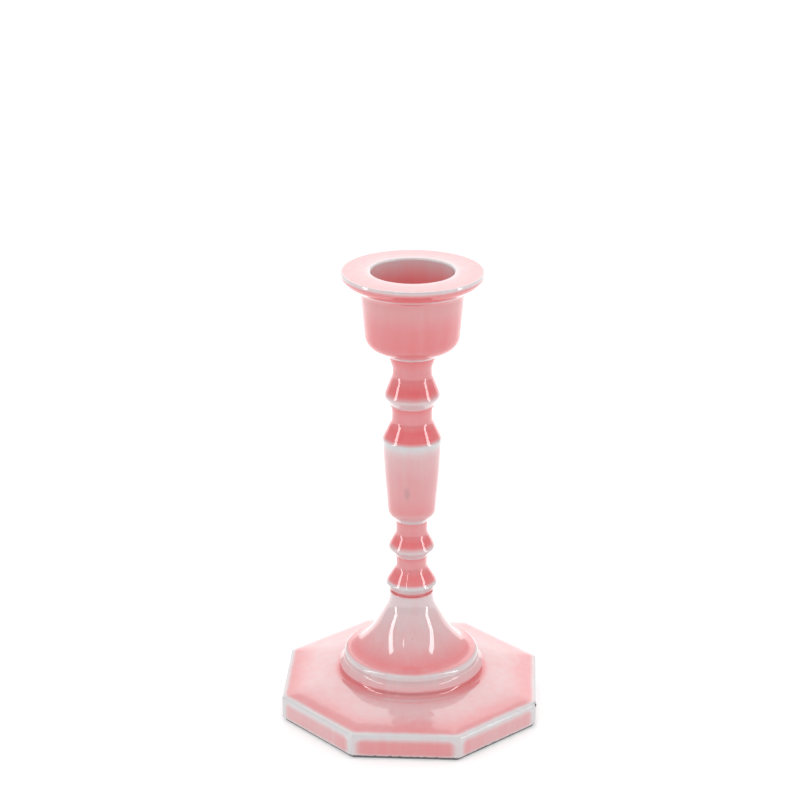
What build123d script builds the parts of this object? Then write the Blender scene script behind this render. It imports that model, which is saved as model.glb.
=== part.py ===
"""A turned and cast candlestick with an octagonal foot, clamped together by one tie rod.

The part stands on the XY plane with its turning axis on Z, and two of the octagon's flats face +X and -X.
Every turned piece is one closed outline in the XZ half plane, revolved about Z. The corners of an outline
are (radius, height, corner rounding), in millimetres, and they run down the outside and back up the bore.
"""

import os

from build123d import *

# Driving dimensions
height = 128.2
candle_diameter = 22.5
pan_diameter = 38.6
across_flats = 71.2
plate_edge_height = 7.35
pad_proud = 1.0

# Heights of the joints between the stacked pieces
pan_joint = 123.8
cup_joint = 104.8
upper_knop_joint = 90.0
baluster_joint = 56.2
lower_knop_joint = 45.5
collar_joint = 35.6
foot_joint = 12.2

# Tie rod, and the spigots and sockets that keep the pieces in line on it
rod_radius = 2.5
rod_hole = 2.7
thread_clearance = 0.05
rod_top = 108.0
rod_bottom = 2.05
rod_chamfer = 0.4
thread_depth = 108.3
spigot_radius = 3.5
spigot_height = 1.1
socket_radius = 3.55
socket_depth = 1.2

# Drip pan
candle_radius = candle_diameter / 2
pan_radius = pan_diameter / 2
pan_rim = 1.4
pan_edge_inset = 0.1
mouth_rounding = 0.6
pan_lip_radius = 16.3
pan_collar_radius = 12.25
pan_collar_clearance = 0.05
pan_shelf = 121.0

# Candle cup
cup_mouth_radius = 14.9
cup_wall_radius = 14.0
cup_wall_top = 119.8
cup_shoulder_radius = 12.76
cup_shoulder = 107.9
cup_bottom_radius = 7.2
socket_floor = 109.5
socket_floor_rounding = 2.0

# Upper knop
upper_flare_radius = 6.7
upper_neck_radius = 5.4
upper_neck_top = 101.0
upper_neck_bottom = 98.8
upper_knop_radius = 7.75
upper_knop_level = 92.8
upper_lip_radius = 6.15
upper_lip_top = 90.65

# Baluster
baluster_top_radius = 5.75
baluster_neck_radius = 5.55
baluster_neck_top = 88.1
baluster_neck_bottom = 85.7
shoulder_radius = 8.15
shoulder_level = 80.35
body_radius = 7.55
body_level = 70.5
waist_radius = 6.52
waist_level = 58.5
baluster_foot_radius = 4.75

# Lower knop
lower_top_radius = 4.45
lower_neck_radius = 4.33
lower_neck_top = 54.3
lower_neck_bottom = 52.3
lower_knop_radius = 6.6
lower_knop_level = 48.05
lower_lip_radius = 4.75

# Ring collar
collar_top_radius = 4.38
collar_neck_radius = 4.27
collar_neck_top = 43.9
collar_neck_bottom = 42.1
collar_ring_radius = 7.2
collar_ring_level = 37.3
collar_lip_radius = 6.5

# Bell foot
foot_groove_radius = 5.4
foot_groove_depth = 1.0
bell_top_radius = 6.1
flare_top = 31.5
flare_middle_radius = 11.05
flare_middle = 22.4
flare_bottom_radius = 15.45
flare_bottom = 17.55
rim_crest_radius = 18.9
rim_crest = 16.8
rim_radius = 19.0
rim_level = 15.3
skirt_hollow = 14.2
skirt_radius = 20.25
hollow_radius = 16.0
hollow_waist_radius = 8.6
hollow_waist = 21.2
hollow_top_radius = 4.4
hollow_top = 29.0

# Base plate. The crown's sections are (distance in from the flats, height, corner rounding), and it
# falls ever more steeply from a level ring round the pedestal to the octagon's edge.
crown = (
    (0.0, plate_edge_height, 1.6),
    (3.6, 8.31, 4.0),
    (7.6, 9.18, 8.0),
    (11.6, 9.84, 14.0),
    (14.4, 10.18, 18.0),
)
corner_rounding = 1.6
top_edge_rounding = 0.9
bottom_edge_rounding = 0.4
pedestal_radius = 19.1
cove_radius = 1.85
register_radius = 15.9
register_height = 0.9

# Felt pad, and the clamp under the plate
pad_thickness = 1.8
pad_inset = 0.9
pad_recess_inset = 0.85
pad_corner_rounding = 1.2
counterbore_radius = 8.5
counterbore_top = 7.1
washer_hole = 2.65
washer_radius = 5.0
washer_thickness = 1.0
washer_chamfer = 0.2
spring_washer_radius = 4.6
spring_washer_thickness = 1.2
spring_washer_gap = 0.8
nut_across_flats = 8.0
nut_thickness = 2.7
nut_chamfer_radius = 4.35


def turned(*corners):
    """The closed outline of a turned piece, from its (radius, height, rounding) corners."""
    with BuildSketch(Plane.XZ) as outline:
        with BuildLine():
            FilletPolyline(
                [(radius, level) for radius, level, _ in corners],
                radius=[rounding for _, _, rounding in corners],
                close=True,
            )
        make_face()
    return outline.sketch


def bore(bottom, top):
    """The inner corners of a stacked piece: its socket below, the rod's hole, and its spigot on top."""
    return [
        (socket_radius, bottom, 0),
        (socket_radius, bottom + socket_depth, 0),
        (rod_hole, bottom + socket_depth, 0),
        (rod_hole, top + spigot_height, 0),
        (spigot_radius, top + spigot_height, 0),
        (spigot_radius, top, 0),
    ]


def octagon(inset):
    """The plate's octagon with flats facing the axes, drawn in from its flats by inset."""
    return RegularPolygon(across_flats / 2 - inset, 8, major_radius=False, rotation=22.5)


os.makedirs("parts", exist_ok=True)

# Drip pan: a flat flange with an ovolo underside, and a collar that seats inside the cup's mouth
with BuildPart() as drip_pan:
    revolve(
        turned(
            (candle_radius, height, mouth_rounding),
            (pan_radius - pan_edge_inset, height, 0.2),
            (pan_radius, height - pan_rim / 2, 0.4),
            (pan_radius, height - pan_rim, 0.7),
            (pan_radius - 0.8, pan_joint + 1.9, 1.6),
            (pan_lip_radius + 0.1, pan_joint + 0.4, 0.3),
            (pan_lip_radius - 0.2, pan_joint, 0.15),
            (pan_collar_radius, pan_joint, 0),
            (pan_collar_radius, pan_shelf, 0.2),
            (candle_radius, pan_shelf, 0),
        )
    )
drip_pan.part.label = "drip_pan"
export_step(drip_pan.part, "parts/drip_pan.step")

# Candle cup: a steep wall, a rounded bottom, and the socket whose floor holds the tie rod's thread
with BuildPart() as candle_cup:
    revolve(
        turned(
            (cup_mouth_radius, pan_joint, 0),
            (cup_wall_radius, pan_joint - 1.4, 2.4),
            (cup_wall_radius - 0.15, cup_wall_top, 12.0),
            (cup_shoulder_radius, cup_shoulder, 4.2),
            (cup_bottom_radius + 0.3, cup_joint + 0.35, 0.5),
            (cup_bottom_radius, cup_joint, 0.15),
            (socket_radius, cup_joint, 0),
            (socket_radius, cup_joint + socket_depth, 0),
            (rod_radius + thread_clearance, cup_joint + socket_depth, 0),
            (rod_radius + thread_clearance, thread_depth, 0),
            (0, thread_depth, 0),
            (0, socket_floor, 0),
            (candle_radius, socket_floor, socket_floor_rounding),
            (candle_radius, pan_shelf, 0),
            (pan_collar_radius + pan_collar_clearance, pan_shelf, 0),
            (pan_collar_radius + pan_collar_clearance, pan_joint, 0),
        )
    )
candle_cup.part.label = "candle_cup"
export_step(candle_cup.part, "parts/candle_cup.step")

# Upper knop: a waisted neck that swells to a rounded knop and ends in a narrow lip
with BuildPart() as upper_knop:
    revolve(
        turned(
            (upper_flare_radius, cup_joint, 0),
            (upper_neck_radius, upper_neck_top, 5.0),
            (upper_neck_radius, upper_neck_bottom, 4.0),
            (upper_knop_radius, upper_knop_level, 1.3),
            (upper_lip_radius, upper_lip_top, 0.3),
            (upper_lip_radius, upper_knop_joint, 0.2),
            *bore(upper_knop_joint, cup_joint),
        )
    )
upper_knop.part.label = "upper_knop"
export_step(upper_knop.part, "parts/upper_knop.step")

# Baluster: a neck and cone down to a crisp shoulder, then a long taper with a rounded foot
with BuildPart() as baluster:
    revolve(
        turned(
            (baluster_top_radius, upper_knop_joint, 0),
            (baluster_neck_radius, baluster_neck_top, 6.0),
            (baluster_neck_radius, baluster_neck_bottom, 3.0),
            (shoulder_radius, shoulder_level, 0.45),
            (body_radius, body_level, 60.0),
            (waist_radius, waist_level, 2.4),
            (baluster_foot_radius, baluster_joint + 0.2, 0.3),
            (baluster_foot_radius - 0.15, baluster_joint, 0.1),
            *bore(baluster_joint, upper_knop_joint),
        )
    )
baluster.part.label = "baluster"
export_step(baluster.part, "parts/baluster.step")

# Lower knop: a smaller neck, a rounded knop and a lip
with BuildPart() as lower_knop:
    revolve(
        turned(
            (lower_top_radius, baluster_joint, 0),
            (lower_neck_radius, lower_neck_top, 4.0),
            (lower_neck_radius, lower_neck_bottom, 2.8),
            (lower_knop_radius, lower_knop_level, 0.8),
            (lower_lip_radius, lower_knop_joint + 0.35, 0.2),
            (lower_lip_radius - 0.05, lower_knop_joint, 0.1),
            *bore(lower_knop_joint, baluster_joint),
        )
    )
lower_knop.part.label = "lower_knop"
export_step(lower_knop.part, "parts/lower_knop.step")

# Ring collar: a short neck that opens to a sharp ring above a narrow lip
with BuildPart() as ring_collar:
    revolve(
        turned(
            (collar_top_radius, lower_knop_joint, 0),
            (collar_neck_radius, collar_neck_top, 4.0),
            (collar_neck_radius, collar_neck_bottom, 2.4),
            (collar_ring_radius, collar_ring_level, 0.35),
            (collar_lip_radius, collar_joint + 0.4, 0.25),
            (collar_lip_radius - 0.1, collar_joint, 0.15),
            *bore(collar_joint, lower_knop_joint),
        )
    )
ring_collar.part.label = "ring_collar"
export_step(ring_collar.part, "parts/ring_collar.step")

# Bell foot: a hollow bell that flares out almost flat to a crisp rim above a hollow-sided skirt
with BuildPart() as bell_foot:
    revolve(
        turned(
            (foot_groove_radius, collar_joint, 0),
            (foot_groove_radius, collar_joint - foot_groove_depth, 0.2),
            (bell_top_radius, collar_joint - foot_groove_depth, 0.25),
            (bell_top_radius, flare_top, 9.0),
            (flare_middle_radius, flare_middle, 30.0),
            (flare_bottom_radius, flare_bottom, 7.0),
            (rim_crest_radius, rim_crest, 1.5),
            (rim_radius, rim_level, 0.9),
            (rim_radius - 0.15, skirt_hollow, 1.2),
            (skirt_radius, foot_joint + 0.6, 0.25),
            (skirt_radius, foot_joint, 0.2),
            (hollow_radius, foot_joint, 0),
            (hollow_radius, foot_joint + 1.0, 0.4),
            (hollow_waist_radius, hollow_waist, 20.0),
            (hollow_top_radius, hollow_top, 0),
            (rod_hole, hollow_top, 0),
            (rod_hole, collar_joint + spigot_height, 0),
            (spigot_radius, collar_joint + spigot_height, 0),
            (spigot_radius, collar_joint, 0),
        )
    )
bell_foot.part.label = "bell_foot"
export_step(bell_foot.part, "parts/bell_foot.step")

# Base plate: a crowned octagon whose coved pedestal carries the bell, drilled and recessed for the clamp
with BuildPart() as base_plate:
    with BuildSketch(Plane.XY.offset(pad_proud)) as plate_outline:
        octagon(0)
        fillet(plate_outline.vertices(), corner_rounding)
    extrude(amount=plate_edge_height - pad_proud)
    fillet(base_plate.faces().sort_by(Axis.Z)[0].edges(), bottom_edge_rounding)
    for inset, level, rounding in crown:
        with BuildSketch(Plane.XY.offset(level)) as section:
            octagon(inset)
            fillet(section.vertices(), rounding)
    loft()
    edge_ring = base_plate.edges().filter_by(lambda edge: abs(edge.center().Z - plate_edge_height) < 0.01)
    fillet(edge_ring, top_edge_rounding)
    with BuildSketch(Plane.XY.offset(pad_proud)):
        Circle(pedestal_radius)
    extrude(amount=foot_joint - pad_proud)
    rings = base_plate.edges().filter_by(GeomType.CIRCLE)
    pedestal_rings = rings.filter_by(lambda ring: abs(ring.radius - pedestal_radius) < 0.01)
    fillet(pedestal_rings.sort_by(Axis.Z)[0], cove_radius)
    with BuildSketch(Plane.XY.offset(foot_joint)):
        Circle(register_radius)
    extrude(amount=register_height)
    with BuildSketch(Plane.XY.offset(pad_proud)) as pad_recess:
        octagon(pad_recess_inset)
        fillet(pad_recess.vertices(), pad_corner_rounding)
    extrude(amount=pad_thickness - pad_proud, mode=Mode.SUBTRACT)
    with BuildSketch():
        Circle(counterbore_radius)
    extrude(amount=counterbore_top, mode=Mode.SUBTRACT)
    with BuildSketch():
        Circle(rod_hole)
    extrude(amount=foot_joint + register_height, mode=Mode.SUBTRACT)
base_plate.part.label = "base_plate"
export_step(base_plate.part, "parts/base_plate.step")

# Tie rod: from the cup's floor through every piece to the nut under the plate
with BuildPart() as tie_rod:
    with BuildSketch(Plane.XY.offset(rod_bottom)):
        Circle(rod_radius)
    extrude(amount=rod_top - rod_bottom)
    chamfer(tie_rod.edges().filter_by(GeomType.CIRCLE), rod_chamfer)
tie_rod.part.label = "tie_rod"
export_step(tie_rod.part, "parts/tie_rod.step")

# Plain washer against the plate
plain_washer_bottom = counterbore_top - washer_thickness
with BuildPart() as plain_washer:
    with BuildSketch(Plane.XY.offset(plain_washer_bottom)):
        Circle(washer_radius)
        Circle(washer_hole, mode=Mode.SUBTRACT)
    extrude(amount=washer_thickness)
    rims = plain_washer.edges().filter_by(GeomType.CIRCLE).group_by(SortBy.RADIUS)[-1]
    chamfer(rims, washer_chamfer)
plain_washer.part.label = "plain_washer"
export_step(plain_washer.part, "parts/plain_washer.step")

# Spring washer, split on one side
spring_washer_bottom = plain_washer_bottom - spring_washer_thickness
with BuildPart() as spring_washer:
    with BuildSketch(Plane.XY.offset(spring_washer_bottom)):
        Circle(spring_washer_radius)
        Circle(washer_hole, mode=Mode.SUBTRACT)
        with Locations((spring_washer_radius, 0)):
            Rectangle(spring_washer_radius, spring_washer_gap, mode=Mode.SUBTRACT)
    extrude(amount=spring_washer_thickness)
spring_washer.part.label = "spring_washer"
export_step(spring_washer.part, "parts/spring_washer.step")

# Thin hexagon nut, with its corners turned off
nut_bottom = spring_washer_bottom - nut_thickness
with BuildPart() as hex_nut:
    with BuildSketch(Plane.XY.offset(nut_bottom)):
        RegularPolygon(nut_across_flats / 2, 6, major_radius=False)
        Circle(nut_chamfer_radius, mode=Mode.INTERSECT)
        Circle(rod_radius + thread_clearance, mode=Mode.SUBTRACT)
    extrude(amount=nut_thickness)
hex_nut.part.label = "hex_nut"
export_step(hex_nut.part, "parts/hex_nut.step")

# Felt pad let into the plate's underside, standing a little proud of it
with BuildPart() as felt_pad:
    with BuildSketch() as pad_outline:
        octagon(pad_inset)
        fillet(pad_outline.vertices(), pad_corner_rounding)
    extrude(amount=pad_thickness)
felt_pad.part.label = "felt_pad"
export_step(felt_pad.part, "parts/felt_pad.step")
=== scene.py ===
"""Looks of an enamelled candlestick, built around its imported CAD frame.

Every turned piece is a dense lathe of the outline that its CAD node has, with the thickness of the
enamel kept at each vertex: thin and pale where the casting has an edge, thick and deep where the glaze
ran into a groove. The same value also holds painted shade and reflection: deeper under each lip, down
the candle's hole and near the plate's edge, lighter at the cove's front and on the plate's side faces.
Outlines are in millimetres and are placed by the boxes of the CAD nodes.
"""

import math

import bpy
import numpy as np
from mathutils import Matrix, Vector


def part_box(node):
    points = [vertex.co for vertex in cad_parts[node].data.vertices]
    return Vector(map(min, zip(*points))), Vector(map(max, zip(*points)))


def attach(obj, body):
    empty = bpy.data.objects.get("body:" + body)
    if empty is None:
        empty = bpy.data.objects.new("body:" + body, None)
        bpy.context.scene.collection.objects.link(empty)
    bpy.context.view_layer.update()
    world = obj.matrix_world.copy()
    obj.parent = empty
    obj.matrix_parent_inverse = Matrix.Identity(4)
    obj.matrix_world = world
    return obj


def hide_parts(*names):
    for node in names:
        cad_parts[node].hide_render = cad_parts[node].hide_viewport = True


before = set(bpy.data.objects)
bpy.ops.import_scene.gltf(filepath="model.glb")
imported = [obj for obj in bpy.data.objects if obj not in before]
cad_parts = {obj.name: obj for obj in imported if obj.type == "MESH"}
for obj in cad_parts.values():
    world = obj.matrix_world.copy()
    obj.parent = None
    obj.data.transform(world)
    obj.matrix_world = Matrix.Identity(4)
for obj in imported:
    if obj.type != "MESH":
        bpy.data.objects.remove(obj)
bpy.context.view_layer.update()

MM = 0.001
scene = bpy.context.scene


def bottom(node):
    """Height of a CAD node's lowest point, in millimetres."""
    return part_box(node)[0].z / MM


def top(node):
    """Height of a CAD node's highest point, in millimetres."""
    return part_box(node)[1].z / MM


# ---------------------------------------------------------------- camera

CAMERA_PLACE = Vector((0.0261, -0.5859, 0.3121))
CAMERA_PITCH, CAMERA_YAW, CAMERA_ROLL = (math.radians(a) for a in (20.631, -2.875, 0.090))

forward = Vector((
    math.sin(CAMERA_YAW) * math.cos(CAMERA_PITCH),
    math.cos(CAMERA_YAW) * math.cos(CAMERA_PITCH),
    -math.sin(CAMERA_PITCH),
))
level_right = forward.cross(Vector((0, 0, 1))).normalized()
level_up = level_right.cross(forward)
right = level_right * math.cos(CAMERA_ROLL) + level_up * math.sin(CAMERA_ROLL)
up = level_up * math.cos(CAMERA_ROLL) - level_right * math.sin(CAMERA_ROLL)
camera_data = bpy.data.cameras.new("camera")
camera_data.sensor_width = 36.0
camera_data.lens = 103.58
camera_data.clip_start, camera_data.clip_end = 0.01, 50.0
camera = bpy.data.objects.new("camera", camera_data)
scene.collection.objects.link(camera)
camera.matrix_world = Matrix.Translation(CAMERA_PLACE) @ (
    Matrix((right, up, -forward)).transposed().to_4x4()
)
scene.camera = camera

# ---------------------------------------------------------------- node helpers


def put(tree, kind, **settings):
    """A new node of that kind, with its properties and unlinked inputs set by name or index."""
    node = tree.nodes.new(kind)
    for name, value in settings.items():
        if name == "inputs":
            for key, setting in value.items():
                node.inputs[key].default_value = setting
        else:
            setattr(node, name, value)
    return node


def join(tree, source, target):
    """Links source to target: (node, output) to (node, input)."""
    tree.links.new(source[0].outputs[source[1]], target[0].inputs[target[1]])


def maths(tree, operation, first, second):
    """A Math node of two inputs, each a number or a (node, output) pair."""
    node = put(tree, "ShaderNodeMath", operation=operation)
    for i, value in enumerate((first, second)):
        if isinstance(value, tuple):
            join(tree, value, (node, i))
        else:
            node.inputs[i].default_value = value
    return (node, 0)


def added(tree, base, source, amount):
    """base plus amount times source, where base is a number or a (node, output) pair."""
    node = put(tree, "ShaderNodeMath", operation="MULTIPLY_ADD", inputs={1: amount})
    join(tree, source, (node, 0))
    if isinstance(base, tuple):
        join(tree, base, (node, 2))
    else:
        node.inputs[2].default_value = base
    return (node, 0)


def ranged(tree, source, low, high, out_low=0.0, out_high=1.0):
    """A smooth Map Range from low..high to out_low..out_high."""
    node = put(
        tree,
        "ShaderNodeMapRange",
        interpolation_type="SMOOTHSTEP",
        inputs={"From Min": low, "From Max": high, "To Min": out_low, "To Max": out_high},
    )
    join(tree, source, (node, "Value"))
    return (node, 0)


def noise(tree, place, scale, detail=2.0, roughness=0.5):
    """A Noise Texture at place, its scale in features per metre, centred on zero."""
    node = put(
        tree,
        "ShaderNodeTexNoise",
        inputs={"Scale": scale, "Detail": detail, "Roughness": roughness},
    )
    join(tree, place, (node, "Vector"))
    return maths(tree, "SUBTRACT", (node, "Fac"), 0.5)


def ramp(tree, source, stops):
    """A Color Ramp of (place, colour) stops."""
    node = put(tree, "ShaderNodeValToRGB")
    elements = node.color_ramp.elements
    while len(elements) < len(stops):
        elements.new(1.0)
    for element, (place, colour) in zip(elements, stops):
        element.position = place
        element.color = (*colour, 1.0)
    join(tree, source, (node, "Fac"))
    return (node, "Color")


def blend_colour(tree, factor, first, second):
    """A colour mix, where first and second are (node, output) pairs or colours."""
    node = put(tree, "ShaderNodeMix", data_type="RGBA")
    join(tree, factor, (node, 0))
    for i, value in ((6, first), (7, second)):
        if isinstance(value[0], float):
            node.inputs[i].default_value = (*value, 1.0)
        else:
            join(tree, value, (node, i))
    return (node, 2)


def material(name):
    """An empty node material with a Principled shader wired to its output."""
    made = bpy.data.materials.new(name)
    made.use_nodes = True
    tree = made.node_tree
    tree.nodes.clear()
    shader = put(tree, "ShaderNodeBsdfPrincipled")
    join(tree, (shader, 0), (put(tree, "ShaderNodeOutputMaterial"), 0))
    return made, tree, shader


# ---------------------------------------------------------------- materials

# Colour of the enamel by its thickness, from a bare edge to a filled groove; the deeper stops also give
# the painted shade that the same value holds
GLAZE = [
    (0.00, (0.80, 0.775, 0.79)),
    (0.12, (0.84, 0.68, 0.695)),
    (0.25, (0.865, 0.56, 0.575)),
    (0.45, (0.89, 0.40, 0.415)),
    (0.65, (0.91, 0.285, 0.30)),
    (0.85, (0.92, 0.19, 0.205)),
    (1.00, (0.92, 0.12, 0.135)),
]
METAL_DARK = (0.06, 0.055, 0.058)
PINHOLE = (0.45, 0.07, 0.08)
SMUDGE = (0.40, 0.25, 0.26)
SMUDGE_STRENGTH = 0.34
ENAMEL_ROUGHNESS, BARE_ROUGHNESS = 0.055, 0.55
ENAMEL_IOR = 1.62

# The enamel's mottling: features per metre, and how far each pattern changes the thickness
DRIFT_SCALE, DRIFT = 75.0, 0.12
GRAIN_SCALE, GRAIN = 900.0, 0.05
RUNS_SCALE, RUNS = 420.0, 0.17
RUNS_STRETCH = 0.07


def enamel_material():
    """Glossy translucent enamel over a pale ground, its colour read from a value of enamel thickness
    that also holds painted shade, with dark metal where chipped and where a contact shadow is painted.
    """
    made, tree, shader = material("pink_enamel")
    place = (put(tree, "ShaderNodeTexCoord"), "Object")
    thickness = (put(tree, "ShaderNodeAttribute", attribute_name="glaze"), "Fac")
    stretched = put(tree, "ShaderNodeMapping")
    stretched.inputs["Scale"].default_value = (1.0, 1.0, RUNS_STRETCH)
    join(tree, place, (stretched, "Vector"))

    thickness = added(tree, thickness, noise(tree, place, DRIFT_SCALE, 3.0), DRIFT)
    thickness = added(tree, thickness, noise(tree, place, GRAIN_SCALE, 2.0), GRAIN)
    thickness = added(tree, thickness, noise(tree, (stretched, 0), RUNS_SCALE, 2.0), RUNS)
    colour = ramp(tree, thickness, GLAZE)

    stain = (put(tree, "ShaderNodeAttribute", attribute_name="stain"), "Fac")
    blotch = added(tree, stain, noise(tree, place, 500.0, 3.0), 0.7)
    colour = blend_colour(tree, ranged(tree, blotch, 0.15, 1.1, 0.0, SMUDGE_STRENGTH), colour, SMUDGE)

    # Pinholes: a dark dot in the middle of one Voronoi cell in five
    cells = put(tree, "ShaderNodeTexVoronoi", inputs={"Scale": 190.0})
    join(tree, place, (cells, "Vector"))
    near = ranged(tree, (cells, "Distance"), 0.020, 0.045, 1.0, 0.0)
    chosen = put(tree, "ShaderNodeSeparateColor")
    join(tree, (cells, "Color"), (chosen, "Color"))
    rare = ranged(tree, (chosen, 0), 0.20, 0.22, 0.75, 0.0)
    colour = blend_colour(tree, maths(tree, "MULTIPLY", near, rare), colour, PINHOLE)

    # Ragged chips down to the dark casting; the same dark metal paints a contact shadow along the
    # plate's bottom at the front right
    chip = (put(tree, "ShaderNodeAttribute", attribute_name="chip"), "Fac")
    worn_and_shadowed = added(tree, chip, noise(tree, place, 650.0, 4.0, 0.65), 1.5)
    bare = ranged(tree, worn_and_shadowed, 0.62, 0.68)
    colour = blend_colour(tree, bare, colour, METAL_DARK)
    join(tree, colour, (shader, "Base Color"))

    join(tree, ranged(tree, bare, 0.0, 1.0, ENAMEL_ROUGHNESS, BARE_ROUGHNESS), (shader, "Roughness"))
    shader.inputs["IOR"].default_value = ENAMEL_IOR

    # A faint orange-peel surface, sunk where the enamel is chipped
    peel = noise(tree, place, 330.0, 1.0)
    sunk = maths(tree, "SUBTRACT", peel, maths(tree, "MULTIPLY", bare, 6.0))
    bump = put(tree, "ShaderNodeBump", inputs={"Strength": 1.0, "Distance": 0.0000035})
    join(tree, sunk, (bump, "Height"))
    join(tree, (bump, 0), (shader, "Normal"))
    return made


def steel_material():
    """Zinc-plated steel with faint turning marks."""
    made, tree, shader = material("zinc_plate")
    place = (put(tree, "ShaderNodeTexCoord"), "Object")
    drift = noise(tree, place, 700.0, 4.0)
    colour = ramp(
        tree,
        maths(tree, "ADD", drift, 0.5),
        [(0.3, (0.50, 0.51, 0.52)), (0.5, (0.60, 0.61, 0.62)), (0.7, (0.66, 0.65, 0.62))],
    )
    join(tree, colour, (shader, "Base Color"))
    join(tree, ranged(tree, drift, -0.3, 0.3, 0.24, 0.42), (shader, "Roughness"))
    shader.inputs["Metallic"].default_value = 1.0
    bump = put(tree, "ShaderNodeBump", inputs={"Strength": 0.6, "Distance": 0.00002})
    join(tree, noise(tree, place, 4000.0, 3.0), (bump, "Height"))
    join(tree, (bump, 0), (shader, "Normal"))
    return made


def felt_material():
    """Grey pressed felt: matted fibres with a soft sheen."""
    made, tree, shader = material("grey_felt")
    place = (put(tree, "ShaderNodeTexCoord"), "Object")
    fibres = noise(tree, place, 3500.0, 6.0, 0.7)
    colour = ramp(
        tree,
        maths(tree, "ADD", fibres, 0.5),
        [(0.3, (0.20, 0.19, 0.195)), (0.6, (0.30, 0.28, 0.29)), (0.8, (0.40, 0.38, 0.39))],
    )
    join(tree, colour, (shader, "Base Color"))
    shader.inputs["Roughness"].default_value = 0.95
    shader.inputs["Sheen Weight"].default_value = 0.35
    bump = put(tree, "ShaderNodeBump", inputs={"Strength": 0.8, "Distance": 0.0002})
    join(tree, fibres, (bump, "Height"))
    join(tree, (bump, 0), (shader, "Normal"))
    return made


enamel = enamel_material()
steel = steel_material()
felt = felt_material()

# ---------------------------------------------------------------- mesh helpers

WAVE_SEED = 41
WAVE_TERMS = 9


def waviness(points, length):
    """A smooth random surface height from -1 to 0 at each point, with waves about that long."""
    source = np.random.default_rng(WAVE_SEED)
    total = np.zeros(len(points))
    for _ in range(WAVE_TERMS):
        way = source.normal(size=3)
        way *= 2 * math.pi / (length * source.uniform(0.7, 1.4) * np.linalg.norm(way))
        total += np.sin(points @ way + source.uniform(0, 2 * math.pi))
    return np.clip(total / (1.6 * math.sqrt(WAVE_TERMS)), -1, 1) * 0.5 - 0.5


def smoothstep(low, high, value):
    """0 below low, 1 above high, and a smooth step between them."""
    t = np.clip((value - low) / (high - low), 0, 1)
    return t * t * (3 - 2 * t)


def with_marks(outline):
    """The outline with its marks as corners. A mark is (share, glaze), which may end with a third
    number for chipping: a place at that share of the straight run between the corners before and
    after it."""
    corners = []
    for i, item in enumerate(outline):
        if len(item) > 3:
            corners.append(item)
            continue
        share, *layers = item
        before = next(c for c in reversed(outline[:i]) if len(c) > 3)
        after = next(c for c in outline[i + 1:] if len(c) > 3)
        radius, level = (a + (b - a) * share for a, b in zip(before[:2], after[:2]))
        corners.append((radius, level, 0, *layers))
    return corners


def rounded(corners, step=0.3, turn_step=7.0):
    """Points along a closed outline of (radius, height, rounding, glaze) corners, which may end with a
    fifth number for chipping; and at each point the glaze, the chipping, and 1 where the surface shows.
    A glaze of None stands for a surface inside the object."""
    places = np.array([c[:2] for c in corners], float)
    count = len(corners)
    blocks = []
    for i in range(count):
        here, before, after = places[i], places[i - 1], places[(i + 1) % count]
        first = (here - before) / np.linalg.norm(here - before)
        second = (after - here) / np.linalg.norm(after - here)
        cross = first[0] * second[1] - first[1] * second[0]
        turn = math.atan2(cross, float(first @ second))
        radius = corners[i][2]
        if radius == 0 or abs(turn) < 1e-4:
            blocks.append(here[None])
            continue
        reach = radius * math.tan(abs(turn) / 2)
        side = math.copysign(1.0, turn)
        start = here - first * reach
        centre = start + side * radius * np.array([-first[1], first[0]])
        by_turn = math.ceil(math.degrees(abs(turn)) / turn_step)
        pieces = max(2, by_turn, math.ceil(radius * abs(turn) / step))
        angles = np.linspace(0, turn, pieces + 1)
        arm = start - centre
        blocks.append(centre + np.stack([
            arm[0] * np.cos(angles) - arm[1] * np.sin(angles),
            arm[0] * np.sin(angles) + arm[1] * np.cos(angles),
        ], 1))
    points, marks = [], []
    for i, block in enumerate(blocks):
        marks.append(len(points) + (len(block) - 1) / 2)
        points.extend(block)
        gap = blocks[(i + 1) % count][0] - block[-1]
        pieces = max(1, math.ceil(np.linalg.norm(gap) / step))
        points.extend(block[-1] + gap * k / pieces for k in range(1, pieces))
    points = np.array(points)
    runs = np.linalg.norm(np.roll(points, -1, 0) - points, axis=1)
    along = np.concatenate([[0], np.cumsum(runs)])
    at = np.interp(marks, np.arange(len(along)), along)
    values = [0.6 if c[3] is None else c[3] for c in corners]
    glaze = np.interp(along[:-1], at, values, period=along[-1])
    chipping = [c[4] if len(c) > 4 else 0.0 for c in corners]
    chip = np.interp(along[:-1], at, chipping, period=along[-1])
    shown = np.interp(along[:-1], at, [c[3] is not None for c in corners], period=along[-1])
    return points, glaze, chip, (shown > 0.999).astype(float)


def facing_out(points, faces):
    """The faces of a closed mesh, turned over if they enclose a negative volume."""
    fans = np.array([(f[0], f[i], f[i + 1]) for f in faces for i in range(1, len(f) - 1)])
    a, b, c = (points[fans[:, i]] for i in range(3))
    if (a * np.cross(b, c)).sum() < 0:
        return [f[::-1] for f in faces]
    return faces


def new_mesh(name, points, faces, **attributes):
    """A smooth-shaded object from points in millimetres, with those float attributes at its vertices."""
    points = np.asarray(points)
    mesh = bpy.data.meshes.new(name)
    mesh.from_pydata((points * MM).tolist(), [], facing_out(points, faces))
    mesh.shade_smooth()
    mesh.set_sharp_from_angle(angle=math.radians(32))
    for label, values in attributes.items():
        layer = mesh.attributes.new(label, "FLOAT", "POINT")
        layer.data.foreach_set("value", np.asarray(values, np.float32))
    mesh.validate()
    made = bpy.data.objects.new(name, mesh)
    scene.collection.objects.link(made)
    return made


def add_piece(made, node, look):
    """Gives a new piece its material and slot, lets it stand for the CAD node, and lets it ride."""
    made.data.materials.append(look)
    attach(made, "root")
    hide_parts(node)


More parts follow.
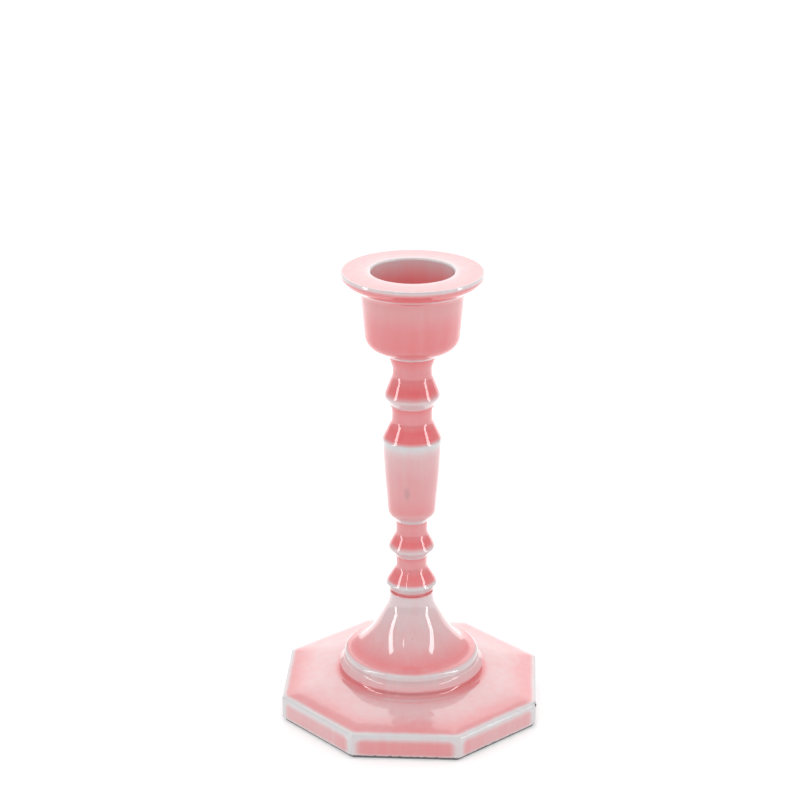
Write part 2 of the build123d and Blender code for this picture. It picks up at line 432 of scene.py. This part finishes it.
def loops(rings, columns, poles=()):
    """Faces between closed rings of vertices, the last ring joined to the first. A pole is a ring
    of one vertex on the axis. rings holds the index of each ring's first vertex."""
    faces = []
    count = len(rings)
    for i in range(count):
        j = (i + 1) % count
        a, b = rings[i], rings[j]
        pole_a, pole_b = i in poles, j in poles
        if pole_a and pole_b:
            continue
        for k in range(columns):
            m = (k + 1) % columns
            if pole_a:
                faces.append((a, b + m, b + k))
            elif pole_b:
                faces.append((a + k, a + m, b))
            else:
                faces.append((a + k, a + m, b + m, b + k))
    return faces


def lathe(name, corners, columns=200, waves=0.03, stain=None):
    """A turned piece from its outline of corners and marks, listed down the outside and up the
    bore. stain gives the stain at each of an array of points."""
    outline, glaze, chip, shown = rounded(with_marks(corners))
    angles = np.arange(columns) * 2 * math.pi / columns
    points, rings, poles, owner = [], [], set(), []
    total = 0
    for i, (radius, level) in enumerate(outline):
        rings.append(total)
        if radius < 1e-6:
            poles.add(i)
            ring = np.array([[0.0, 0.0, level]])
        else:
            level_all_round = np.full(columns, level)
            ring = np.stack([radius * np.cos(angles), radius * np.sin(angles), level_all_round], 1)
        points.append(ring)
        owner += [i] * len(ring)
        total += len(ring)
    points = np.concatenate(points)
    radial = np.linalg.norm(points[:, :2], axis=1, keepdims=True)
    inward = points[:, :2] / np.maximum(radial, 1e-9)
    points[:, :2] += inward * (waviness(points, 11.0) * waves * shown[owner])[:, None]
    layers = {"glaze": glaze[owner], "chip": chip[owner]}
    if stain is not None:
        layers["stain"] = stain(points)
    return new_mesh(name, points, loops(rings, columns, poles), **layers)


# The hidden joints: spigots in sockets, and the tie rod's hole and thread
SOCKET, SOCKET_DEPTH = 3.55, 1.2
SPIGOT, SPIGOT_HEIGHT = 3.5, 1.1
ROD_HOLE = 2.7
THREAD = 2.55


def bore(low, high):
    """Inner corners of a stacked piece: the socket below, the rod's hole, and the spigot on top."""
    return [
        (SOCKET, low, 0, None),
        (SOCKET, low + SOCKET_DEPTH, 0, None),
        (ROD_HOLE, low + SOCKET_DEPTH, 0, None),
        (ROD_HOLE, high + SPIGOT_HEIGHT, 0, None),
        (SPIGOT, high + SPIGOT_HEIGHT, 0, None),
        (SPIGOT, high, 0, None),
    ]


# ---------------------------------------------------------------- turned pieces

# An outline lists corners of (radius, height, rounding, glaze) and marks of (share, glaze), and
# either may end with chipping. Where a piece meets the lip of the piece above, the enamel is deep:
# pooled glaze, and painted shade under that lip too.
CANDLE = 11.25
MOUTH, MOUTH_COLLAR = 12.3, 12.25

pan_low, pan_high = bottom("drip_pan"), top("drip_pan")
cup_low = bottom("candle_cup")
pan_joint = top("candle_cup")
knop_low = bottom("upper_knop")
baluster_low = bottom("baluster")
lower_low = bottom("lower_knop")
collar_low = bottom("ring_collar")
bell_low = bottom("bell_foot")

drip_pan = lathe("drip_pan_enamel", [
    # Down the candle's hole the enamel deepens towards the bottom: pooled glaze, and painted shade of
    # the hole
    (CANDLE, pan_low, 0, 0.58),
    (CANDLE, pan_low + 3.0, 0, 0.34),
    (CANDLE, pan_high - 2.0, 0, 0.16),
    (CANDLE, pan_high - 0.9, 0, 0.08),
    (CANDLE, pan_high, 0.6, 0.0, 0.40),
    (12.1, pan_high, 0, 0.18),
    (13.2, pan_high, 0, 0.34),
    (16.5, pan_high, 0, 0.44),
    (18.6, pan_high, 0, 0.46),
    (19.2, pan_high, 0.2, 0.02, 0.42),
    (19.3, pan_high - 0.7, 0.4, 0.16, 0.20),
    (19.3, pan_high - 1.4, 0.7, 0.74),
    (18.5, pan_joint + 1.9, 1.6, 0.86),
    (16.95, pan_joint + 0.82, 0, 0.80),
    (16.4, pan_joint + 0.4, 0.3, 0.16),
    (16.1, pan_joint, 0.15, 0.45),
    (14.9, pan_joint, 0, 0.95),
    (MOUTH_COLLAR, pan_joint, 0, None),
    (MOUTH_COLLAR, pan_low, 0.2, None),
], columns=256)
add_piece(drip_pan, "drip_pan", enamel)

candle_cup = lathe("candle_cup_enamel", [
    (14.9, pan_joint, 0, 0.80),
    (14.0, pan_joint - 1.4, 2.4, 0.50),
    (13.92, pan_joint - 2.8, 0, 0.48),
    (13.85, pan_joint - 4.0, 12.0, 0.50),
    (13.4, pan_joint - 8.9, 0, 0.72),
    (13.0, pan_joint - 13.2, 0, 0.78),
    (12.76, cup_low + 3.1, 4.2, 0.74),
    (0.60, 0.22),
    (0.85, 0.03),
    (0.95, 0.0),
    (7.5, cup_low + 0.35, 0.5, 0.0),
    (7.2, cup_low, 0.15, 0.10),
    (SOCKET, cup_low, 0, None),
    (SOCKET, cup_low + SOCKET_DEPTH, 0, None),
    (THREAD, cup_low + SOCKET_DEPTH, 0, None),
    (THREAD, cup_low + 3.5, 0, None),
    (0, cup_low + 3.5, 0, None),
    # The hole's floor and lower wall are deep: pooled glaze, and painted shade of the hole
    (0, cup_low + 4.7, 0, 1.0),
    (CANDLE, cup_low + 4.7, 2.0, 0.90),
    (CANDLE, cup_low + 8.7, 0, 0.78),
    (CANDLE, pan_low, 0, 0.58),
    (MOUTH, pan_low, 0, None),
    (MOUTH, pan_joint, 0, None),
], columns=240)
add_piece(candle_cup, "candle_cup", enamel)

upper_knop = lathe("upper_knop_enamel", [
    (6.7, cup_low, 0, 0.90),
    (5.4, knop_low + 11.0, 5.0, 0.64),
    (5.4, knop_low + 8.8, 4.0, 0.66),
    (0.545, 0.90),
    (0.72, 0.82),
    (0.86, 0.44),
    (7.75, knop_low + 2.8, 1.3, 0.14),
    (0.41, 0.16),
    (6.15, knop_low + 0.65, 0.3, 0.18),
    (6.15, knop_low, 0.2, 0.90),
    *bore(knop_low, cup_low),
])
add_piece(upper_knop, "upper_knop", enamel)

# Middle and reach of the stain on the baluster
SMUDGE_PLACE = np.array([-0.95, -7.3, knop_low - 23.6])
SMUDGE_REACH = np.array([1.1, 3.0, 2.6])


def smudged(points):
    """A soft grey stain low on the baluster's front."""
    return np.exp(-((((points - SMUDGE_PLACE) / SMUDGE_REACH) ** 2).sum(1)))


baluster = lathe("baluster_enamel", [
    (5.75, knop_low, 0, 0.80),
    (5.55, knop_low - 1.9, 6.0, 0.66),
    (5.55, knop_low - 4.3, 3.0, 0.66),
    (0.33, 0.90),
    (0.80, 0.84),
    (8.15, knop_low - 9.65, 0.45, 0.0, 0.46),
    (0.10, 0.03, 0.20),
    (0.23, 0.20),
    (0.41, 0.32),
    (7.55, knop_low - 19.5, 60.0, 0.44),
    (0.54, 0.49),
    (0.86, 0.60),
    (6.52, baluster_low + 2.3, 2.4, 0.36),
    (0.55, 0.05),
    (4.75, baluster_low + 0.2, 0.3, 0.0),
    (4.6, baluster_low, 0.1, 0.05),
    *bore(baluster_low, knop_low),
], stain=smudged)
add_piece(baluster, "baluster", enamel)

lower_knop = lathe("lower_knop_enamel", [
    (4.45, baluster_low, 0, 0.62),
    (4.33, baluster_low - 1.9, 4.0, 0.58),
    (4.33, baluster_low - 3.9, 2.8, 0.62),
    (0.40, 0.86),
    (0.62, 0.80),
    (0.78, 0.36),
    (6.6, lower_low + 2.55, 0.8, 0.06),
    (0.38, 0.10),
    (4.75, lower_low + 0.35, 0.2, 0.08),
    (4.7, lower_low, 0.1, 0.60),
    *bore(lower_low, baluster_low),
])
add_piece(lower_knop, "lower_knop", enamel)

ring_collar = lathe("ring_collar_enamel", [
    (4.38, lower_low, 0, 0.66),
    (4.27, lower_low - 1.6, 4.0, 0.56),
    (4.27, lower_low - 3.4, 2.4, 0.58),
    (0.35, 0.82),
    (0.75, 0.76),
    (0.88, 0.12),
    (7.2, collar_low + 1.7, 0.35, 0.0, 0.30),
    (0.52, 0.12),
    (6.5, collar_low + 0.4, 0.25, 0.08),
    (6.4, collar_low, 0.15, 0.55),
    *bore(collar_low, lower_low),
])
add_piece(ring_collar, "ring_collar", enamel)

bell_foot = lathe("bell_foot_enamel", [
    (5.4, collar_low, 0, 0.66),
    (5.4, collar_low - 1.0, 0.2, 0.62),
    (6.1, collar_low - 1.0, 0.25, 0.30),
    (6.1, collar_low - 1.7, 0, 0.10),
    (6.1, collar_low - 4.1, 9.0, 0.13),
    (0.37, 0.20),
    (11.05, bell_low + 10.2, 30.0, 0.32),
    (0.60, 0.50),
    (15.45, bell_low + 5.35, 7.0, 0.65),
    (0.67, 0.54),
    (18.9, bell_low + 4.6, 1.5, 0.06),
    (19.0, bell_low + 3.1, 0.9, 0.12),
    (18.85, bell_low + 2.0, 1.2, 0.25),
    (20.25, bell_low + 0.6, 0.25, 0.38),
    (20.25, bell_low, 0.2, 0.55),
    (16.0, bell_low, 0, None),
    (16.0, bell_low + 1.0, 0.4, None),
    (8.6, bell_low + 9.0, 20.0, None),
    (4.4, bell_low + 16.8, 0, None),
    (ROD_HOLE, bell_low + 16.8, 0, None),
    (ROD_HOLE, collar_low + SPIGOT_HEIGHT, 0, None),
    (SPIGOT, collar_low + SPIGOT_HEIGHT, 0, None),
    (SPIGOT, collar_low, 0, None),
], columns=288)
add_piece(bell_foot, "bell_foot", enamel)

# ---------------------------------------------------------------- base plate

plate_low = bottom("base_plate")
register = top("base_plate")
shelf = register - 0.9
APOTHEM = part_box("base_plate")[1].x / MM
EDGE_ROUNDING = 0.9
FOOT_ROUNDING = 0.4
PEDESTAL = 19.1
SEAT_RADIUS = 15.9
COVE = 1.85
COUNTERBORE_RADIUS, COUNTERBORE_TOP = 8.5, 7.1
PAD_TOP = top("felt_pad")

# The crown's sections: distance in from the flats, drop below the bell's seat, and corner rounding
CROWN_INSETS = (0.0, 3.6, 7.6, 11.6, 14.4)
CROWN_DROPS = (4.85, 3.89, 3.02, 2.36, 2.02)
CROWN_ROUNDINGS = (1.6, 4.0, 8.0, 14.0, 18.0)
crown_level = np.polyfit(CROWN_INSETS, shelf - np.array(CROWN_DROPS), 4)
crown_rounding = np.polyfit(CROWN_INSETS, CROWN_ROUNDINGS, 4)
INNERMOST = CROWN_INSETS[-1]


def octagon(apothem, rounding, flat_points=44, corner_points=16):
    """Points and outward normals once round an octagon with rounded corners, and how far each
    point lies from the nearest corner's rounding, along the flat."""
    points, normals, reach = [], [], []
    centre_distance = (apothem - rounding) / math.cos(math.pi / 8)
    half_flat = (apothem - rounding) * math.tan(math.pi / 8)
    for side in range(8):
        middle = side * math.pi / 4
        normal = np.array([math.cos(middle), math.sin(middle)])
        along = np.array([-normal[1], normal[0]])
        for t in -np.cos(np.linspace(0, math.pi, flat_points)) * half_flat:
            points.append(normal * apothem + along * t)
            normals.append(normal)
            reach.append(half_flat - abs(t))
        corner = middle + math.pi / 8
        centre = np.array([math.cos(corner), math.sin(corner)]) * centre_distance
        for angle in np.linspace(middle, middle + math.pi / 4, corner_points + 2)[1:-1]:
            outward = np.array([math.cos(angle), math.sin(angle)])
            points.append(centre + outward * rounding)
            normals.append(outward)
            reach.append(0.0)
    return np.array(points), np.array(normals), np.array(reach)


def section(inset):
    """The plate's outline, drawn in from its flats by inset."""
    return octagon(APOTHEM - inset, float(np.polyval(crown_rounding, inset)))[0]


rim, rim_normal, rim_reach = octagon(APOTHEM, CROWN_ROUNDINGS[0])
columns = len(rim)
rim_way = rim / np.linalg.norm(rim, axis=1, keepdims=True)
seat_ring = section(INNERMOST)
seat_way = seat_ring / np.linalg.norm(seat_ring, axis=1, keepdims=True)

rings, glazes, chips, lifts, pushes = [], [], [], [], []


def add_ring(xy, z, glaze, chip=0.0, lift=0.0, push=0.0):
    """One ring of the plate: its enamel, its chipping and painted contact shadow, and how far waves lift
    it or push it inward.
    """
    rings.append(np.column_stack([xy, np.full(columns, z)]))
    glazes.append(np.broadcast_to(glaze, columns))
    chips.append(np.broadcast_to(chip, columns))
    lifts.append(np.full(columns, lift))
    pushes.append(np.full(columns, push))


# The rod's hole, the seat inside the bell, and the shelf that the bell's rim stands on
for radius, level in (
    (ROD_HOLE, COUNTERBORE_TOP),
    (ROD_HOLE, register),
    (SEAT_RADIUS, register),
    (SEAT_RADIUS, shelf),
):
    add_ring(seat_way * radius, level, 0.6)
add_ring(seat_way * (PEDESTAL - 0.3), shelf, 0.68)
add_ring(seat_way * PEDESTAL, shelf, 0.68)

# The cove, from the pedestal's wall above to the level ring below: deep with pooled glaze, and
# lighter at the front than at the sides, a painted reflection
cove_radius = PEDESTAL + COVE
seat_level = float(np.polyval(crown_level, INNERMOST))
cove_front = np.clip(-seat_way[:, 1], 0, 1) ** 2
for angle in np.linspace(0, math.pi / 2, 15):
    share = angle / (math.pi / 2)
    value = 0.86 - 0.42 * cove_front - 0.30 * smoothstep(0.45, 1.0, share)
    add_ring(
        seat_way * (cove_radius - COVE * math.cos(angle)),
        seat_level + COVE * (1 - math.sin(angle)),
        value,
    )


def top_glaze(xy, inset):
    """Enamel on the plate's top: thick by the cove, thinner across it, and deeper again before its edge,
    thicker glaze there with a painted darker reflection of the sloping rim.
    """
    from_cove = np.linalg.norm(xy, axis=1) - cove_radius
    value = 0.27 + 0.14 * (1 - smoothstep(0.0, 1.2, from_cove))
    value = value + 0.22 * (1 - smoothstep(2.0, 10.0, inset))
    return value - 0.54 * (1 - smoothstep(0.3, 2.1, inset))


# The crown, from its level ring to where the edge's rounding starts
slope = math.atan(np.polyval(np.polyder(crown_level), 0.6))
edge_contact = EDGE_ROUNDING * (1 - math.sin(slope))
for inset in np.linspace(INNERMOST, edge_contact, 64):
    xy = section(inset)
    add_ring(xy, float(np.polyval(crown_level, inset)), top_glaze(xy, inset), lift=1.0)

# The rounded edge, pale all round, with a chip out of it at two corners
CHIPPED_CORNERS = (-math.pi / 8, 7 * math.pi / 8)
CHIP_SPREAD = 1.5
CORNER_CHIP = 0.62
corner_distance = np.linalg.norm(rim, axis=1).max()


def chip_at(corner):
    """Chipping round the rim near the corner at that angle."""
    place = corner_distance * np.array([math.cos(corner), math.sin(corner)])
    return np.exp(-(np.linalg.norm(rim - place, axis=1) / CHIP_SPREAD) ** 2)


chipped = sum(chip_at(corner) for corner in CHIPPED_CORNERS)
edge_centre = float(np.polyval(crown_level, edge_contact)) - EDGE_ROUNDING * math.cos(slope)
for angle in np.linspace(slope, math.pi / 2, 11)[1:]:
    inset = EDGE_ROUNDING * (1 - math.sin(angle))
    xy = section(inset)
    value = np.clip(top_glaze(xy, inset), 0, 1) * (1 - angle / (math.pi / 2))
    add_ring(xy, edge_centre + EDGE_ROUNDING * math.cos(angle), value, chip=CORNER_CHIP * chipped)

# The side wall, pink in its middle and pale along its edges and corners, and dark along the
# bottom at the front right, a painted contact shadow drawn as bare metal
CONTACT_SHADOW_WAY = np.array([math.cos(-1.2), math.sin(-1.2)])
near_corner = 1 - smoothstep(-0.8, 2.6, rim_reach)
sideways = smoothstep(0.25, 0.6, np.abs(rim_way[:, 0]))
shadowed_front_right = smoothstep(0.1, 0.9, rim_way @ CONTACT_SHADOW_WAY)
wall_bottom = plate_low + FOOT_ROUNDING
for share in np.linspace(0, 1, 20)[1:]:
    level = edge_centre * (1 - share) + wall_bottom * share
    # The faces that look left and right are paler: painted light from the sides
    value = (0.59 - 0.20 * sideways) * smoothstep(-0.3, 2.1, edge_centre - level) - 0.58 * near_corner
    value = value - 0.22 * (1 - smoothstep(0.0, 0.7, level - wall_bottom))
    chip = CORNER_CHIP * chipped * (1 - smoothstep(0.0, 0.3, share))
    chip = chip + 0.30 * smoothstep(0.9, 1.0, share) * shadowed_front_right
    add_ring(rim, level, np.clip(value, 0.02, 1), chip=chip, push=1.0)
# The foot's rounding, chipped here and there, darker at the front right with the painted contact shadow
for angle in np.linspace(0, math.pi / 2, 6)[1:]:
    xy = rim - rim_normal * FOOT_ROUNDING * (1 - math.cos(angle))
    add_ring(xy, wall_bottom - FOOT_ROUNDING * math.sin(angle), 0.12, chip=0.12 + 0.48 * shadowed_front_right)

# Underneath, bare metal: the recess for the felt, and the counterbore
RECESS_INSET = 0.85
recess = rim - rim_normal * RECESS_INSET
counterbore = rim_way * COUNTERBORE_RADIUS
for xy, level in (
    (recess, plate_low),
    (recess, PAD_TOP),
    (counterbore, PAD_TOP),
    (counterbore, COUNTERBORE_TOP),
):
    add_ring(xy, level, 0.3, chip=0.9)

PLATE_WAVE, PLATE_WAVE_HEIGHT = 17.0, 0.05
points = np.concatenate(rings)
wave = waviness(points, PLATE_WAVE) * PLATE_WAVE_HEIGHT
points[:, 2] += wave * np.concatenate(lifts)
points[:, :2] += (wave * np.concatenate(pushes))[:, None] * np.tile(rim_normal, (len(rings), 1))
base_plate = new_mesh(
    "base_plate_enamel",
    points,
    loops([i * columns for i in range(len(rings))], columns),
    glaze=np.concatenate(glazes),
    chip=np.concatenate(chips),
)
add_piece(base_plate, "base_plate", enamel)

# ---------------------------------------------------------------- felt pad and the clamp

PAD_CORNER = 1.2
PAD_SOFT_EDGE = 0.15
pad_rim, pad_normal, _ = octagon(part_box("felt_pad")[1].x / MM, PAD_CORNER)
pad_rings = [np.array([[0.0, 0.0, 0.0]])]
for xy, level in (
    (pad_rim * 0.6, 0),
    (pad_rim - pad_normal, 0),
    (pad_rim - pad_normal * PAD_SOFT_EDGE, 0),
    (pad_rim, PAD_SOFT_EDGE),
    (pad_rim, PAD_TOP - 0.1),
    (pad_rim - pad_normal * 0.1, PAD_TOP),
    (pad_rim * 0.6, PAD_TOP),
):
    pad_rings.append(np.column_stack([xy, np.full(len(xy), level)]))
pad_rings.append(np.array([[0.0, 0.0, PAD_TOP]]))
pad_starts = np.cumsum([0] + [len(ring) for ring in pad_rings[:-1]]).tolist()
pad = new_mesh(
    "felt_pad_felt",
    np.concatenate(pad_rings),
    loops(pad_starts, len(pad_rim), poles=(0, len(pad_rings) - 1)),
)
add_piece(pad, "felt_pad", felt)

for node in ("tie_rod", "plain_washer", "spring_washer", "hex_nut"):
    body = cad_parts[node]
    body.data.materials.clear()
    body.data.materials.append(steel)

# ---------------------------------------------------------------- floor and light

HALF_FLOOR = 6.0
FLOOR_LEVEL = -0.00004
PAPER_GLOW = 0.36
floor_mesh = bpy.data.meshes.new("floor")
floor_mesh.from_pydata(
    [(x * HALF_FLOOR, y * HALF_FLOOR, FLOOR_LEVEL) for x, y in ((-1, -1), (1, -1), (1, 1), (-1, 1))],
    [],
    [(0, 1, 2, 3)],
)
floor = bpy.data.objects.new("floor", floor_mesh)
scene.collection.objects.link(floor)
paper, paper_tree, paper_shader = material("white_paper")
paper_place = (put(paper_tree, "ShaderNodeTexCoord"), "Object")
paper_tone = ramp(
    paper_tree,
    maths(paper_tree, "ADD", noise(paper_tree, paper_place, 12.0, 3.0), 0.5),
    [(0.2, (0.83, 0.83, 0.835)), (0.8, (0.87, 0.87, 0.87))],
)
join(paper_tree, paper_tone, (paper_shader, "Base Color"))
paper_shader.inputs["Roughness"].default_value = 0.9
paper_shader.inputs["Specular IOR Level"].default_value = 0.1
# Lit from below as a light table is, but its glow doesn't light the object
seen = put(paper_tree, "ShaderNodeLightPath")
glow = maths(paper_tree, "MULTIPLY", (seen, "Is Camera Ray"), PAPER_GLOW)
paper_shader.inputs["Emission Color"].default_value = (1.0, 1.0, 1.0, 1.0)
join(paper_tree, glow, (paper_shader, "Emission Strength"))
floor_mesh.materials.append(paper)

# A white tent, its brightness set by direction: x is across, y goes from the camera's side to the
# back, and z from the table to overhead. Each pair is where one of its parts starts and is whole.
BAND = 0.76
ARCH_GAIN, OVERHEAD_GAIN, GLOOM = 1.12, 0.28, -0.35
BACK = (-0.55, 0.05)
ARCH_SLANT = 0.65
ARCH_TOP = (0.845, 0.86)
ARCH_SIDES = (0.26, 0.36)
OVERHEAD_BEHIND = (0.88, 0.95)
OVERHEAD_BEFORE = (0.38, 0.60)
GLOOM_SIDE = (-0.85, -0.35)
GLOOM_TOP = (0.15, 0.55)


def white_tent():
    """A world with a bright arch behind the object, a soft light overhead that comes well forward,
    a dim side low behind the camera, and an even glow elsewhere."""
    world = bpy.data.worlds.new("tent")
    world.use_nodes = True
    sky = world.node_tree
    sky.nodes.clear()
    direction = put(sky, "ShaderNodeTexCoord")
    split = put(sky, "ShaderNodeSeparateXYZ")
    join(sky, (direction, "Generated"), (split, 0))
    across, away, height_up = ((split, i) for i in range(3))
    aside = maths(sky, "ABSOLUTE", across, 0.0)

    behind = ranged(sky, away, *BACK)
    before = maths(sky, "SUBTRACT", 1.0, behind)
    middle = maths(sky, "MULTIPLY", ranged(sky, aside, *ARCH_SIDES, 1.0, 0.0), behind)
    under_arch = ranged(sky, added(sky, height_up, aside, ARCH_SLANT), *ARCH_TOP, 1.0, 0.0)
    facing = ranged(sky, away, *GLOOM_SIDE, 1.0, 0.0)
    strength = BAND
    for low_or_high, part, gain in (
        (under_arch, middle, ARCH_GAIN),
        (ranged(sky, height_up, *OVERHEAD_BEHIND), behind, OVERHEAD_GAIN),
        (ranged(sky, height_up, *OVERHEAD_BEFORE), before, OVERHEAD_GAIN),
        (ranged(sky, height_up, *GLOOM_TOP, 1.0, 0.0), facing, GLOOM),
    ):
        strength = added(sky, strength, maths(sky, "MULTIPLY", low_or_high, part), gain)

    background = put(sky, "ShaderNodeBackground", inputs={"Color": (1.0, 1.0, 1.0, 1.0)})
    join(sky, strength, (background, "Strength"))
    join(sky, (background, 0), (put(sky, "ShaderNodeOutputWorld"), 0))
    return world


scene.world = white_tent()


def soft_light(name, size, size_y, radiance):
    """A rectangular light that shows in gloss only, of that radiance."""
    light = bpy.data.lights.new(name, "AREA")
    light.shape = "RECTANGLE"
    light.size, light.size_y = size, size_y
    light.energy = radiance * math.pi * size * size_y
    lamp = bpy.data.objects.new(name, light)
    scene.collection.objects.link(lamp)
    lamp.visible_camera = False
    lamp.visible_diffuse = False
    return lamp


def strip(name, low, high, distance, width, radiance):
    """A long light at that distance from the axis and facing it, between two (azimuth, height)
    ends. Azimuths are in degrees round from the camera's side."""
    ends = []
    for azimuth, level in (low, high):
        way = math.radians(azimuth) + math.atan2(CAMERA_PLACE.x, -CAMERA_PLACE.y)
        ends.append(Vector((math.sin(way) * distance, -math.cos(way) * distance, level)))
    long_side = ends[1] - ends[0]
    lamp = soft_light(name, width, long_side.length, radiance)
    long_side.normalize()
    centre = (ends[0] + ends[1]) / 2
    outward = Vector((centre.x, centre.y, 0.0))
    outward = (outward - long_side * outward.dot(long_side)).normalized()
    lamp.matrix_world = Matrix.Translation(centre) @ (
        Matrix((long_side.cross(outward), long_side, outward)).transposed().to_4x4()
    )


# Two strips lean in towards each other overhead, a small window stands high on the left, and the
# table sends up a faint glow
STRIP_DISTANCE = 1.0
STRIP_WIDTH, STRIP_RADIANCE = 0.17, 7.5
WINDOW_WIDTH, WINDOW_RADIANCE = 0.045, 9.0
GLOW_SIDE, GLOW_RADIANCE = 6.0, 0.9
for name, side in (("strip_right", 1), ("strip_left", -1)):
    strip(name, (80.0 * side, 0.01), (58.0 * side, 1.05), STRIP_DISTANCE, STRIP_WIDTH, STRIP_RADIANCE)
strip("window_left", (-26.0, 0.74), (-26.0, 1.00), STRIP_DISTANCE, WINDOW_WIDTH, WINDOW_RADIANCE)
table_glow = soft_light("table_glow", GLOW_SIDE, GLOW_SIDE, GLOW_RADIANCE)
table_glow.location = (0.0, 0.0, 0.0003)
table_glow.rotation_euler = (math.pi, 0.0, 0.0)

scene.view_settings.view_transform = "Standard"
scene.view_settings.look = "None"
